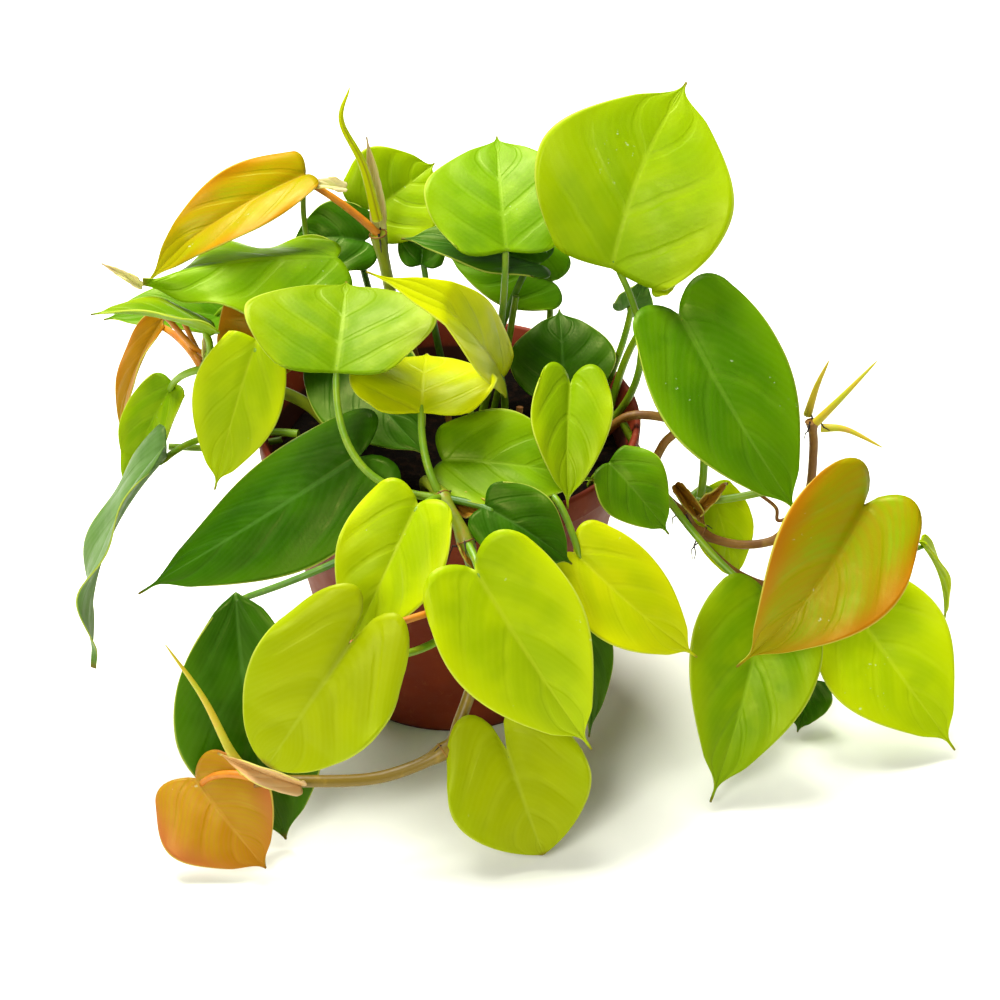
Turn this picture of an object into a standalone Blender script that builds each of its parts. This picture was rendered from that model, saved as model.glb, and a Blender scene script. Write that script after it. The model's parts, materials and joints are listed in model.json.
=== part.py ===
"""Heart-leaf philodendron in a round plastic nursery pot. Metres, +Z up, base of the pot on z = 0."""
import math
from collections import namedtuple

import bmesh
import bpy
from mathutils import Vector

MM = 0.001

# Pot
RIM_RADIUS = 60.0
POT_HEIGHT = 96.0
BASE_RADIUS = 39.0
WALL = 1.2
RIM_LIP = 2.0
RIM_HEIGHT = 9.0
FOOT_HEIGHT = 2.0
FOOT_STEP = 0.8
DRAIN_HOLES = 6
DRAIN_RADIUS = 3.5
DRAIN_RING = 24.0

# Plant
SOIL_DEPTH = 14.0
CLEARANCE = 0.3
BLADE_THICKNESS = 0.9
PETIOLE_RADIUS = 1.0
VINE_RADIUS = 1.9
NODE_SWELL = 1.5
LEAF_SCALE = 1.0
STALK_STEPS = 5

# The plant's places below are drawn for a pot of this radius and height, and grow with the pot.
DRAWN_RADIUS = 60.0
DRAWN_HEIGHT = 96.0
SPREAD = RIM_RADIUS / DRAWN_RADIUS
RISE = POT_HEIGHT / DRAWN_HEIGHT

SOIL_TOP = POT_HEIGHT - SOIL_DEPTH
ROOT = (SOIL_TOP + CLEARANCE + 0.8) / RISE
STEM_ROOT = ROOT + 0.8

FINISHES = {
    "lime": ((0.42, 0.60, 0.02), 0.38),
    "yellow_lime": ((0.55, 0.62, 0.02), 0.40),
    "green": ((0.17, 0.42, 0.02), 0.36),
    "deep_green": ((0.05, 0.22, 0.01), 0.34),
    "bronze": ((0.58, 0.27, 0.03), 0.40),
    "stem_green": ((0.25, 0.40, 0.05), 0.45),
    "stem_brown": ((0.35, 0.20, 0.06), 0.55),
    "sheath": ((0.72, 0.42, 0.20), 0.50),
    "terracotta_plastic": ((0.34, 0.09, 0.03), 0.42),
    "peat": ((0.02, 0.012, 0.008), 0.95),
}

# joint: where the stalk meets the blade. tip: the point of the leaf. face: the way the upper side looks.
# base: the stalk's lower end, in the soil or the name and number of a vine's point.
# bow: the point that pulls the stalk into its curve.
# fold: how far the halves lift, in degrees. arch: rise along the middle. wave: ripple of the edge.
# hook: how far the last stretch dips. lobe: how far the back lobes reach, as a share of the width.
# point: how drawn out the tip is, from 0 to 1. widest: where the blade is widest, from 0 to 1.
Leaf = namedtuple(
    "Leaf",
    "name finish joint tip face width base bow fold arch wave hook lobe point widest",
    defaults=(10.0, 3.0, 0.0, 0.0, 0.15, 0.75, 0.33),
)

LEAVES = [
    # Crown
    Leaf("leaf_crown_right", "lime", (50, 10, 143), (73, 42, 190), (-0.1, -0.9, 0.5), 63,
         (44, 6, ROOT), (72, 4, 108), 6, 4, lobe=0.03),
    Leaf("leaf_crown_middle", "lime", (18, 18, 145), (15, 57, 164), (0, -0.5, 0.9), 48,
         (9, 14, ROOT), (18, 14, 115), 8, 3, lobe=0.03),
    Leaf("leaf_crown_back_left", "green", (-24, 50, 142), (-5, 62, 152), (0, -0.9, 0.6), 34,
         (-8, 34, ROOT), (-22, 44, 112), lobe=0.15),
    Leaf("leaf_crown_back_dark", "deep_green", (28, 33, 132), (-15, 36, 139), (0, -0.2, 1), 26,
         (10, 34, ROOT), (16, 32, 112), 12),
    Leaf("leaf_crown_back_small", "deep_green", (-9, 40, 128), (-8, 52, 132), (0, -0.6, 0.8), 16,
         (0, 30, ROOT), (-6, 34, 110)),
    Leaf("leaf_back_left_dark", "deep_green", (-27, 42, 135), (-51, 42, 134), (-0.2, -0.7, 0.7), 24,
         (-16, 36, ROOT), (-26, 42, 112)),
    Leaf("leaf_back_middle", "green", (33, 46, 118), (-3, 48, 128), (0, -0.7, 0.7), 26,
         (24, 40, ROOT), (36, 46, 100)),
    Leaf("leaf_back_right_dark", "deep_green", (36, 12, 98), (35, 38, 112), (0, -0.9, 0.5), 34,
         (32, 6, ROOT), (36, 8, 90), 4, 2, lobe=0.08),
    Leaf("leaf_crown_small_right", "green", (56, 24, 121), (61, 24, 132), (0.2, -0.9, 0.4), 12,
         (46, 22, ROOT), (56, 24, 106)),
    # Upper left
    Leaf("leaf_young_top_left", "bronze", (-44, 32, 164), (-94, 12, 138), (-0.3, -0.7, 0.8), 24,
         ("vine_back", 2), (-34, 32, 156), 18, 7, 0, 4, lobe=0.08),
    Leaf("leaf_wavy_left", "green", (-34, 16, 144), (-92, 0, 143), (0, -0.2, 1), 42,
         (-30, 16, ROOT), (-32, 16, 120), -26, 3, 3, lobe=0.06),
    Leaf("leaf_left_edge_on", "lime", (-71, -10, 132), (-106, -16, 142), (0, 0.35, 1), 26,
         ("vine_left", 3), (-70, -8, 126), 14, lobe=0.05),
    Leaf("leaf_left_dark", "green", (-74, 44, 106), (-111, 35, 110), (0, -0.2, 1), 24,
         (-36, 24, ROOT), (-54, 40, 130), lobe=0.1),
    Leaf("leaf_young_hanging", "bronze", (-90, 20, 119), (-106, 17, 75), (-0.75, -0.65, 0), 24,
         ("vine_left", 3), (-81, 5, 121), 20, lobe=0.04),
    Leaf("leaf_young_behind", "bronze", (-48, 12, 127), (-73, 8, 110), (-0.2, -0.8, 0.6), 32,
         ("vine_left", 2), (-46, 8, 116)),
    Leaf("leaf_hanging_left", "lime", (-57, -16, 133), (-72, -22, 83), (-0.2, -1, 0.1), 28,
         ("vine_left", 2), (-54, -17, 126), 8, lobe=0.04),
    Leaf("leaf_narrow_left", "lime", (-86, 4, 105), (-101, -2, 68), (-0.6, -0.8, 0.2), 20,
         ("vine_left", 3), (-84, -6, 115), 18, 2, 0, -5, lobe=0.08),
    Leaf("leaf_strap_far_left", "green", (-86, -28, 99), (-112, -36, 24), (-0.9, -0.05, 0.3), 30,
         (-46, -15, 99), (-78, -4, 96), 14, 4, lobe=0.3),
    # Upper centre
    Leaf("leaf_cup_left", "lime", (-32, -40, 137), (-30, -7, 148), (0, -0.4, 0.9), 58,
         ("vine_front", 2), (-34, -58, 106), 13, 2, lobe=0.04, widest=0.45),
    Leaf("leaf_arched", "yellow_lime", (17, -13, 118), (-14, -34, 169), (0.7, -0.4, 0.6), 17,
         (14, -6, ROOT), (20, -8, 100), 12, 6, 0, 10, lobe=0.04),
    Leaf("leaf_flat_yellow", "yellow_lime", (-7, -41, 124), (-6, -14, 124), (0, -0.2, 1), 44,
         ("vine_front", 2), (-8, -54, 116), 4, 2, lobe=0.05, widest=0.4),
    Leaf("leaf_under_cup", "deep_green", (-32, 5, 114), (-6, -28, 99), (-0.3, -0.4, 0.9), 36,
         (-38, 8, ROOT), (-36, 12, 100)),
    # Front
    Leaf("leaf_big_dark_left", "deep_green", (-26, -44, 110), (-94, -49, 63), (-0.5, -0.6, 0.8), 43,
         (-13, -36, ROOT), (-18, -36, 103), -15, 4, lobe=0.2, point=1.0, widest=0.25),
    Leaf("leaf_centre", "green", (4, -42, 109), (42, -41, 103), (0, -0.4, 0.9), 31,
         (12, -30, ROOT), (6, -34, 98), 10, lobe=0.08),
    Leaf("leaf_folded_lime", "lime", (37, -29, 126), (36, -54, 98), (0.2, -0.9, 0.5), 26,
         (28, -12, ROOT), (34, -16, 108), 20, lobe=0.2),
    Leaf("leaf_front_yellow", "yellow_lime", (-8, -66, 108), (-28, -85, 70), (-0.2, -0.8, 0.6), 33,
         ("vine_front", 2), (-4, -63, 108), 12, 4, lobe=0.12),
    Leaf("leaf_front_big", "lime", (9, -81, 95), (43, -95, 40), (0, -0.8, 0.6), 44,
         ("vine_front", 3), (9, -76, 97), 14, 5, lobe=0.15),
    Leaf("leaf_front_right", "yellow_lime", (38, -62, 88), (75, -70, 55), (0.2, -0.7, 0.7), 30,
         (26, -40, ROOT), (30, -56, 120), 10, 4, lobe=0.1),
    Leaf("leaf_front_dark", "deep_green", (12, -62, 104), (37, -68, 88), (0, -0.7, 0.7), 24,
         ("vine_front", 2), (10, -60, 104), lobe=0.1),
    Leaf("leaf_olive_right", "green", (49, -34, 101), (67, -43, 81), (0.3, -0.7, 0.6), 24,
         (44, -20, ROOT), (48, -26, 97), lobe=0.05),
    Leaf("leaf_behind_front", "deep_green", (36, -60, 76), (43, -76, 29), (0.5, -0.8, 0.2), 18,
         ("vine_front", 4), (24, -66, 80), lobe=0.05),
    Leaf("leaf_round_lower_left", "lime", (-30, -102, 88), (-49, -112, 51), (-0.1, -0.9, 0.4), 44,
         ("vine_front", 4), (-8, -94, 68), 8, 5, 0, -4, lobe=0.35, point=0.1, widest=0.25),
    Leaf("leaf_dark_lower_left", "deep_green", (-62, -70, 79), (-49, -93, 3), (-0.1, -0.9, 0.3), 46,
         ("vine_front", 2), (-24, -72, 92), 12, lobe=0.05, point=0.3, widest=0.6),
    Leaf("leaf_small_orange", "bronze", (-79, -93, 25), (-54, -107, 4), (-0.3, -0.8, 0.5), 34,
         ("vine_front", 10), (-68, -96, 34), 10, 3, lobe=0.1, point=0.5),
    Leaf("leaf_olive_bottom", "yellow_lime", (24, -86, 34), (24, -99, 3), (0.1, -0.9, 0.4), 40,
         ("vine_front", 7), (12, -88, 30), 8, 3, lobe=0.3, point=0.3),
    # Right
    Leaf("leaf_big_right", "green", (71, 5, 130), (108, -30, 78), (0.2, -0.6, 0.8), 47,
         (50, 14, ROOT), (58, 16, 132), 10, 4, lobe=0.15, widest=0.4),
    Leaf("leaf_green_lower_right", "green", (98, -40, 57), (81, -76, 3), (0, -0.9, 0.4), 42,
         ("vine_right", 2), (72, -40, 70), 12, 4, lobe=0.05),
    Leaf("leaf_lime_lower_right", "lime", (126, -26, 43), (160, -51, 3), (0.1, -0.8, 0.6), 44,
         ("vine_right", 6), (114, -28, 50), 10, 4, lobe=0.05, widest=0.4),
    Leaf("leaf_red_orange", "bronze", (126, -39, 89), (88, -62, 45), (0.2, -0.8, 0.6), 46,
         ("vine_right", 6), (124, -34, 70), 20, 6, lobe=0.2),
    Leaf("leaf_behind_right_stems", "lime", (83, 2, 68), (92, -5, 35), (0.2, -0.9, 0.2), 20,
         ("vine_right", 4), (81, 1, 71), lobe=0.05),
    Leaf("leaf_dark_far_right", "deep_green", (116, -30, 14), (111, -42, 3), (0, -0.8, 0.6), 16,
         ("vine_right", 6), (112, -20, 34), lobe=0.05),
    Leaf("leaf_pale_narrow_right", "lime", (150, -10, 55), (160, -12, 24), (0.9, 0.1, 0.3), 10,
         ("vine_right", 6), (134, -14, 52), 24, lobe=0.05),
]

# Vines: points of the running stem, with the joints where leaves grow marked by True.
Vine = namedtuple("Vine", "name finish points")

VINES = [
    Vine("vine_front", "stem_green", [
        ((-6, -28, STEM_ROOT), False), ((-6, -44, 101), False), ((-1, -57, 104), True), ((6, -68, 96), True),
        ((10, -76, 78), False), ((9, -76, 56), False), ((4, -84, 42), False), ((-1, -90, 35), True),
        ((-20, -96, 30), False), ((-44, -100, 32), False), ((-56, -101, 34), True)]),
    Vine("vine_right", "stem_brown", [
        ((42, -4, STEM_ROOT), False), ((52, -5, 101), False), ((62, -6, 103), False), ((70, -6, 86), False),
        ((76, -6, 68), True), ((90, -8, 57), False), ((106, -10, 57), True), ((114, -8, 72), False),
        ((112, -5, 94), True)]),
    Vine("vine_left", "stem_green", [
        ((-30, -6, STEM_ROOT), False), ((-42, -8, 104), False), ((-58, -10, 114), False),
        ((-75, -8, 118), True)]),
    Vine("vine_back", "stem_green", [
        ((-14, 22, STEM_ROOT), False), ((-18, 30, 118), False), ((-22, 30, 144), True)]),
]

# Sheaths: new leaves still rolled, each a pointed spike.
Spike = namedtuple("Spike", "name finish points")

SPIKES = [
    Spike("spike_back", "yellow_lime", [(-22, 30, 149), (-26, 30, 168), (-32, 28, 184), (-29, 26, 196)]),
    Spike("spike_right_long", "sheath", [(114, -7, 98), (122, -8, 109), (131, -8, 121)]),
    Spike("spike_right_upright", "sheath", [(112, -1, 97), (114, -2, 108), (117, -3, 118)]),
    Spike("spike_right_low", "sheath", [(116, -4, 94), (124, -5, 94), (135, -9, 90)]),
    Spike("spike_front", "sheath", [(-59, -102, 37.5), (-63, -102, 46), (-70, -98, 62), (-80, -95, 79)]),
]


def remove_everything():
    for item in list(bpy.data.objects):
        bpy.data.objects.remove(item)


def new_collection(name):
    group = bpy.data.collections.new(name)
    bpy.context.scene.collection.children.link(group)
    return group


def finish_material(name):
    colour, roughness = FINISHES[name]
    material = bpy.data.materials.get(name)
    if material is None:
        material = bpy.data.materials.new(name)
        material.use_nodes = True
        shader = material.node_tree.nodes["Principled BSDF"]
        shader.inputs["Base Color"].default_value = (*colour, 1.0)
        shader.inputs["Roughness"].default_value = roughness
        shader.inputs["Metallic"].default_value = 0.0
        material.diffuse_color = (*colour, 1.0)
    return material


def new_object(name, data, group, finish=None):
    item = bpy.data.objects.new(name, data)
    group.objects.link(item)
    if finish is not None:
        item.data.materials.clear()
        item.data.materials.append(finish_material(finish))
    return item


def frozen(item):
    """The object's mesh with its modifiers worked in."""
    graph = bpy.context.evaluated_depsgraph_get()
    mesh = bpy.data.meshes.new_from_object(item.evaluated_get(graph))
    bm = bmesh.new()
    bm.from_mesh(mesh)
    bmesh.ops.remove_doubles(bm, verts=bm.verts, dist=1e-6)
    bmesh.ops.recalc_face_normals(bm, faces=bm.faces)
    if bm.calc_volume(signed=True) < 0:
        bmesh.ops.reverse_faces(bm, faces=bm.faces)
    bm.to_mesh(mesh)
    bm.free()
    return mesh


def turned(name, profile, segments, group, finish):
    """A profile of (radius, height) in mm, top to bottom down its outer side, turned about Z."""
    mesh = bpy.data.meshes.new(name)
    rows = [(radius * MM, 0.0, height * MM) for radius, height in profile]
    edges = [(k, k + 1) for k in range(len(rows) - 1)]
    if profile[0][0] > 0:
        edges.append((len(rows) - 1, 0))
    mesh.from_pydata(rows, edges, [])
    item = new_object(name, mesh, group, finish)
    screw = item.modifiers.new("turn", "SCREW")
    screw.steps = segments
    screw.render_steps = segments
    screw.use_merge_vertices = True
    screw.merge_threshold = 1e-5
    screw.use_normal_calculate = True
    return item


def wall_radius(height):
    """Outer radius of the pot's wall, in mm."""
    return BASE_RADIUS + (RIM_RADIUS - RIM_LIP - BASE_RADIUS) * height / POT_HEIGHT


def make_pot(group, cutters):
    under_lip = POT_HEIGHT - RIM_HEIGHT
    profile = [
        (RIM_RADIUS - 0.6, POT_HEIGHT),
        (RIM_RADIUS, POT_HEIGHT - 0.8),
        (RIM_RADIUS - 0.4, under_lip + 0.5),
        (RIM_RADIUS - 0.8, under_lip),
        (wall_radius(under_lip), under_lip),
        (wall_radius(FOOT_HEIGHT), FOOT_HEIGHT),
        (wall_radius(FOOT_HEIGHT) - FOOT_STEP, FOOT_HEIGHT - 0.4),
        (BASE_RADIUS - FOOT_STEP, 0.0),
        (0.0, 0.0),
        (0.0, WALL * 1.5),
        (BASE_RADIUS - WALL * 1.5, WALL * 1.5),
        (wall_radius(under_lip) - WALL, under_lip),
        (RIM_RADIUS - RIM_LIP, POT_HEIGHT - 1.0),
        (RIM_RADIUS - RIM_LIP + 0.4, POT_HEIGHT),
    ]
    pot = turned("pot", profile, 48, group, "terracotta_plastic")
    mesh = bpy.data.meshes.new("drain_cutter")
    bm = bmesh.new()
    for k in range(DRAIN_HOLES):
        angle = 2 * math.pi * (k + 0.5) / DRAIN_HOLES
        made = bmesh.ops.create_cone(
            bm, cap_ends=True, segments=12, radius1=DRAIN_RADIUS * MM, radius2=DRAIN_RADIUS * MM, depth=0.01)
        place = Vector((DRAIN_RING * math.cos(angle), DRAIN_RING * math.sin(angle), 0.0)) * MM
        bmesh.ops.translate(bm, verts=made["verts"], vec=place)
    bm.to_mesh(mesh)
    bm.free()
    cutter = new_object("drain_cutter", mesh, cutters)
    cutter.hide_render = True
    cutter.display_type = "WIRE"
    cut = pot.modifiers.new("drain_holes", "BOOLEAN")
    cut.operation = "DIFFERENCE"
    cut.solver = "EXACT"
    cut.object = cutter
    return pot


def make_soil(group):
    floor = WALL * 1.5 + CLEARANCE
    inner = [
        (0.0, SOIL_TOP),
        (wall_radius(SOIL_TOP) - WALL - CLEARANCE - 3.0, SOIL_TOP),
        (wall_radius(SOIL_TOP) - WALL - CLEARANCE - 0.6, SOIL_TOP - 2.0),
        (BASE_RADIUS - WALL * 1.5 - CLEARANCE - 0.6, floor),
        (0.0, floor),
    ]
    return turned("soil", inner, 32, group, "peat")


def half_width(leaf, v):
    """How wide the blade is at v along its middle, as a share of its widest."""
    if v < leaf.widest:
        return 1.0 - 0.42 * ((leaf.widest - v) / leaf.widest) ** 2
    x = (v - leaf.widest) / (1.0 - leaf.widest)
    body = max(math.cos(math.pi / 2 * x), 0.0) ** 0.8
    drip = 1.0 - leaf.point * max(x - 0.7, 0.0) / 0.3
    return max(body * drip, 0.03)


def grown(place):
    """A place in the plant, moved with the pot's size, and outward with the leaves' outside the pot."""
    x, y, z = place
    above = max(z - DRAWN_HEIGHT, 0.0) / 30.0
    beyond = max(math.hypot(x, y) - DRAWN_RADIUS, 0.0) / 16.0
    growth = 1.0 + (LEAF_SCALE - 1.0) * min(above + beyond, 1.0)
    return Vector((x * SPREAD * growth, y * SPREAD * growth, z * RISE * growth))


def leaf_frame(leaf):
    joint = Vector(leaf.joint)
    along = Vector(leaf.tip) - joint
    length = along.length
    along.normalize()
    face = Vector(leaf.face)
    face -= along * face.dot(along)
    face.normalize()
    side = along.cross(face)
    return joint, along, side, face, length


def leaf_point(leaf, u, v):
    """A point of the blade's middle surface: u from -1 to 1 across, v from 0 at the joint to 1 at the tip."""
    joint, along, side, face, length = leaf_frame(leaf)
    across = abs(u)
    reach = leaf.width / 2 * across * half_width(leaf, v)
    lobe = leaf.width * leaf.lobe * math.sin(math.pi * 0.74 * across) * (1.0 - v) ** 2.5
    lift = reach * math.sin(math.radians(leaf.fold))
    lift += leaf.arch * 4 * v * (1.0 - v)
    lift += leaf.wave * across ** 2 * math.sin(4 * math.pi * v + (1.0 if u > 0 else 0.0))
    lift -= leaf.hook * max(v - 0.7, 0.0) / 0.3
    out = math.copysign(reach * math.cos(math.radians(leaf.fold)), u)
    return joint + along * (v * length - lobe) + side * out + face * lift


def bezier(a, b, c, steps):
    return [a * (1 - t) ** 2 + b * 2 * t * (1 - t) + c * t * t for t in (k / steps for k in range(steps + 1))]


def stalk_path(leaf):
    """From inside the blade to the root, or to just clear of the vine's joint that the leaf grows from."""
    length = (Vector(leaf.tip) - Vector(leaf.joint)).length
    start = leaf_point(leaf, 0.0, 2.0 / length)
    bow = Vector(leaf.bow)
    if not isinstance(leaf.base[0], str):
        return [grown(place) for place in bezier(start, bow, Vector(leaf.base), STALK_STEPS)]
    name, number = leaf.base
    vine = next(item for item in VINES if item.name == name)
    centre = grown(vine.points[number][0])
    away = (grown(bow) - centre).normalized()
    end = centre + away * (VINE_RADIUS * NODE_SWELL + CLEARANCE + 0.6)
    return bezier(grown(start), grown(bow), end, STALK_STEPS)


def tube(name, points, radii, group, finish=None, resolution=1):
    """A closed tube through points in mm, with its radius in mm at each."""
    data = bpy.data.curves.new(name, "CURVE")
    data.dimensions = "3D"
    data.bevel_depth = MM
    data.bevel_resolution = resolution
    data.use_fill_caps = True
    spline = data.splines.new("POLY")
    spline.points.add(len(points) - 1)
    for point, place, radius in zip(spline.points, points, radii):
        point.co = (*(Vector(place) * MM), 1.0)
        point.radius = radius
    item = new_object("curve_" + name, data, group)
    mesh = frozen(item)
    bpy.data.objects.remove(item)
    return new_object(name, mesh, group, finish)


def make_leaf(leaf, group):
    mesh = bpy.data.meshes.new(leaf.name)
    bm = bmesh.new()
    bmesh.ops.create_grid(bm, x_segments=6, y_segments=6, size=1.0)
    for vert in bm.verts:
        vert.co = grown(leaf_point(leaf, vert.co.x, (vert.co.y + 1.0) / 2)) * MM
    bm.to_mesh(mesh)
    bm.free()
    blade = new_object(leaf.name, mesh, group, leaf.finish)
    solid = blade.modifiers.new("thickness", "SOLIDIFY")
    solid.thickness = BLADE_THICKNESS * MM
    solid.offset = 0.0
    blade.data = frozen(blade)
    blade.modifiers.clear()
    points = stalk_path(leaf)
    radii = [PETIOLE_RADIUS * (0.9 + 0.06 * k) for k in range(len(points))]
    stalk = tube("stalk_" + leaf.name, points, radii, group)
    union = blade.modifiers.new("stalk", "BOOLEAN")
    union.operation = "UNION"
    union.solver = "EXACT"
    union.object = stalk
    blade.data = frozen(blade)
    blade.modifiers.clear()
    bpy.data.objects.remove(stalk)
    return blade


def smooth_path(places, steps):
    """A path through every place, rounded between them."""
    known = [grown(place) for place in places]
    ends = [known[0] * 2 - known[1]] + known + [known[-1] * 2 - known[-2]]
    path = []
    for k in range(1, len(ends) - 2):
        a, b, c, d = ends[k - 1:k + 3]
        for step in range(steps):
            t = step / steps
            path.append(0.5 * (
                b * 2 + (c - a) * t + (a * 2 - b * 5 + c * 4 - d) * t * t + (b * 3 - a - c * 3 + d) * t ** 3))
    return path + [known[-1]]


def make_vine(vine, group):
    steps = 4
    path = smooth_path([place for place, node in vine.points], steps)
    nodes = [k * steps for k, (place, node) in enumerate(vine.points) if node]
    radii = [VINE_RADIUS * (NODE_SWELL if k in nodes else 1.0) for k in range(len(path))]
    return tube(vine.name, path, radii, group, vine.finish)


def make_spike(spike, group):
    path = smooth_path(spike.points, 3)
    count = len(path) - 1
    radii = [2.4 * (1.0 - k / count) ** 0.8 + 0.25 for k in range(count + 1)]
    return tube(spike.name, path, radii, group, spike.finish)


def build():
    remove_everything()
    group = new_collection("potted_philodendron")
    cutters = new_collection("cutters")
    make_pot(group, cutters)
    make_soil(group)
    for leaf in LEAVES:
        make_leaf(leaf, group)
    for vine in VINES:
        make_vine(vine, group)
    for spike in SPIKES:
        make_spike(spike, group)


build()
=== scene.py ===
"""Looks of the potted heart-leaf philodendron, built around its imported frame.

Lengths are in millimetres, and METRE turns them into Blender's metres.
"""
import json
import math
import random
from collections import namedtuple

import bpy
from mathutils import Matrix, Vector, noise


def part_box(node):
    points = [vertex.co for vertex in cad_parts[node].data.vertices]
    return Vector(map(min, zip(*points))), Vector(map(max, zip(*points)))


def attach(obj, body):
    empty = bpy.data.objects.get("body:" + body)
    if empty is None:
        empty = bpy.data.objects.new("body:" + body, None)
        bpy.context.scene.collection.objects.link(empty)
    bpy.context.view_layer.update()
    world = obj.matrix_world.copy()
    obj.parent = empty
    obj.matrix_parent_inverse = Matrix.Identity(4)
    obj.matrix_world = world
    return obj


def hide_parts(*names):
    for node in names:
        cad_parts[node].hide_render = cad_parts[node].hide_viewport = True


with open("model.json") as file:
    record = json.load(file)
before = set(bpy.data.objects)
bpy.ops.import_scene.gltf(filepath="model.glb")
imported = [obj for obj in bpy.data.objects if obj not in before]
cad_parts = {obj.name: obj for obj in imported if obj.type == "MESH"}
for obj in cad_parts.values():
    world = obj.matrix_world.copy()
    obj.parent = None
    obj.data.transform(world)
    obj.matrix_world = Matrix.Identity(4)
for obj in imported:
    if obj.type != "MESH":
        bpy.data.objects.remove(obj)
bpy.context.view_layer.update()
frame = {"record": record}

METRE = 0.001
BODY = "root"

# From the frame: material slots, and where the pot and its peat end
SLOTS = {entry["node"]: entry["material_slot"] for entry in frame["record"]["subparts"]}
pot_high = Vector(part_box("pot")[1]) / METRE
soil_low, soil_high = (Vector(corner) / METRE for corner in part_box("soil"))
RIM_RADIUS = pot_high.x
POT_HEIGHT = pot_high.z
SOIL_TOP = soil_high.z
SOIL_FLOOR = soil_low.z

# Where stalks and running stems leave the peat
ROOT = SOIL_TOP + 1.1
STEM_ROOT = ROOT + 0.8

# Pot and peat
BASE_RADIUS = 39.0
WALL = 1.2
RIM_LIP = 2.0
RIM_HEIGHT = 9.0
FOOT_HEIGHT = 2.0
FOOT_STEP = 0.8
DRAIN_HOLES = 6
DRAIN_RADIUS = 3.5
DRAIN_RING = 24.0
DRAIN_DRILL = 8.0
HUB_RADIUS = 0.8
POT_SEGMENTS = 128
SOIL_SEGMENTS = 112
SOIL_RINGS = 26
SOIL_GAP = 0.3

# Leaves. The blade's rows crowd toward its tip, and its veins lean forward as they leave the midrib.
BLADE_THICKNESS = 0.5
BLADE_COLUMNS = 28
BLADE_ROWS = 44
ROW_CROWDING = 1.25
VEIN_PAIRS = 3.6
VEIN_LEAN = 0.42
VEIN_BEND = 0.95
QUILTING = 0.24
MIDRIB_GROOVE = 0.7
EDGE_RIPPLE = 1.1
SIDEWAYS_SWAY = 0.09
SEED_STEP = 0.37
SCRAP_SEED = 0.5

# Stalks and stems
STALK_RADIUS = 1.25
STALK_TOP_SHARE = 0.82
STALK_GROWTH = 0.012
STALK_START = 2.5
STALK_STEPS = 18
PATH_STEPS = 8
VINE_RADIUS = 1.9
NODE_SWELL = 1.5
NODE_SPREAD = 1.6
SCAR_REACH = 1.42
SCAR_THICKNESS = 0.28
AIR_ROOT_RADII = (0.3, 0.28, 0.25, 0.2, 0.12)
AIR_ROOTS_AT_A_NODE = 3
SPIKE_TIP_RADIUS = 0.15
BROWNING_LOW = 45.0
BROWNING_HIGH = 85.0

# joint: where the stalk meets the blade. tip: the point of the leaf. face: the way the upper side looks.
# base: the stalk's lower end, in the soil or the name and number of a vine's point.
# bow: the point that pulls the stalk into its curve.
# fold: how far the halves lift, in degrees. arch: rise along the middle. wave: ripple of the edge.
# hook: how far the last stretch dips. lobe: how far the back lobes reach, as a share of the width.
# point: how drawn out the tip is, from 0 to 1. widest: where the blade is widest, from 0 to 1.
Leaf = namedtuple(
    "Leaf",
    "name skin joint tip face width base bow fold arch wave hook lobe point widest",
    defaults=(10.0, 3.0, 0.0, 0.0, 0.15, 0.75, 0.33),
)

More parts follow.
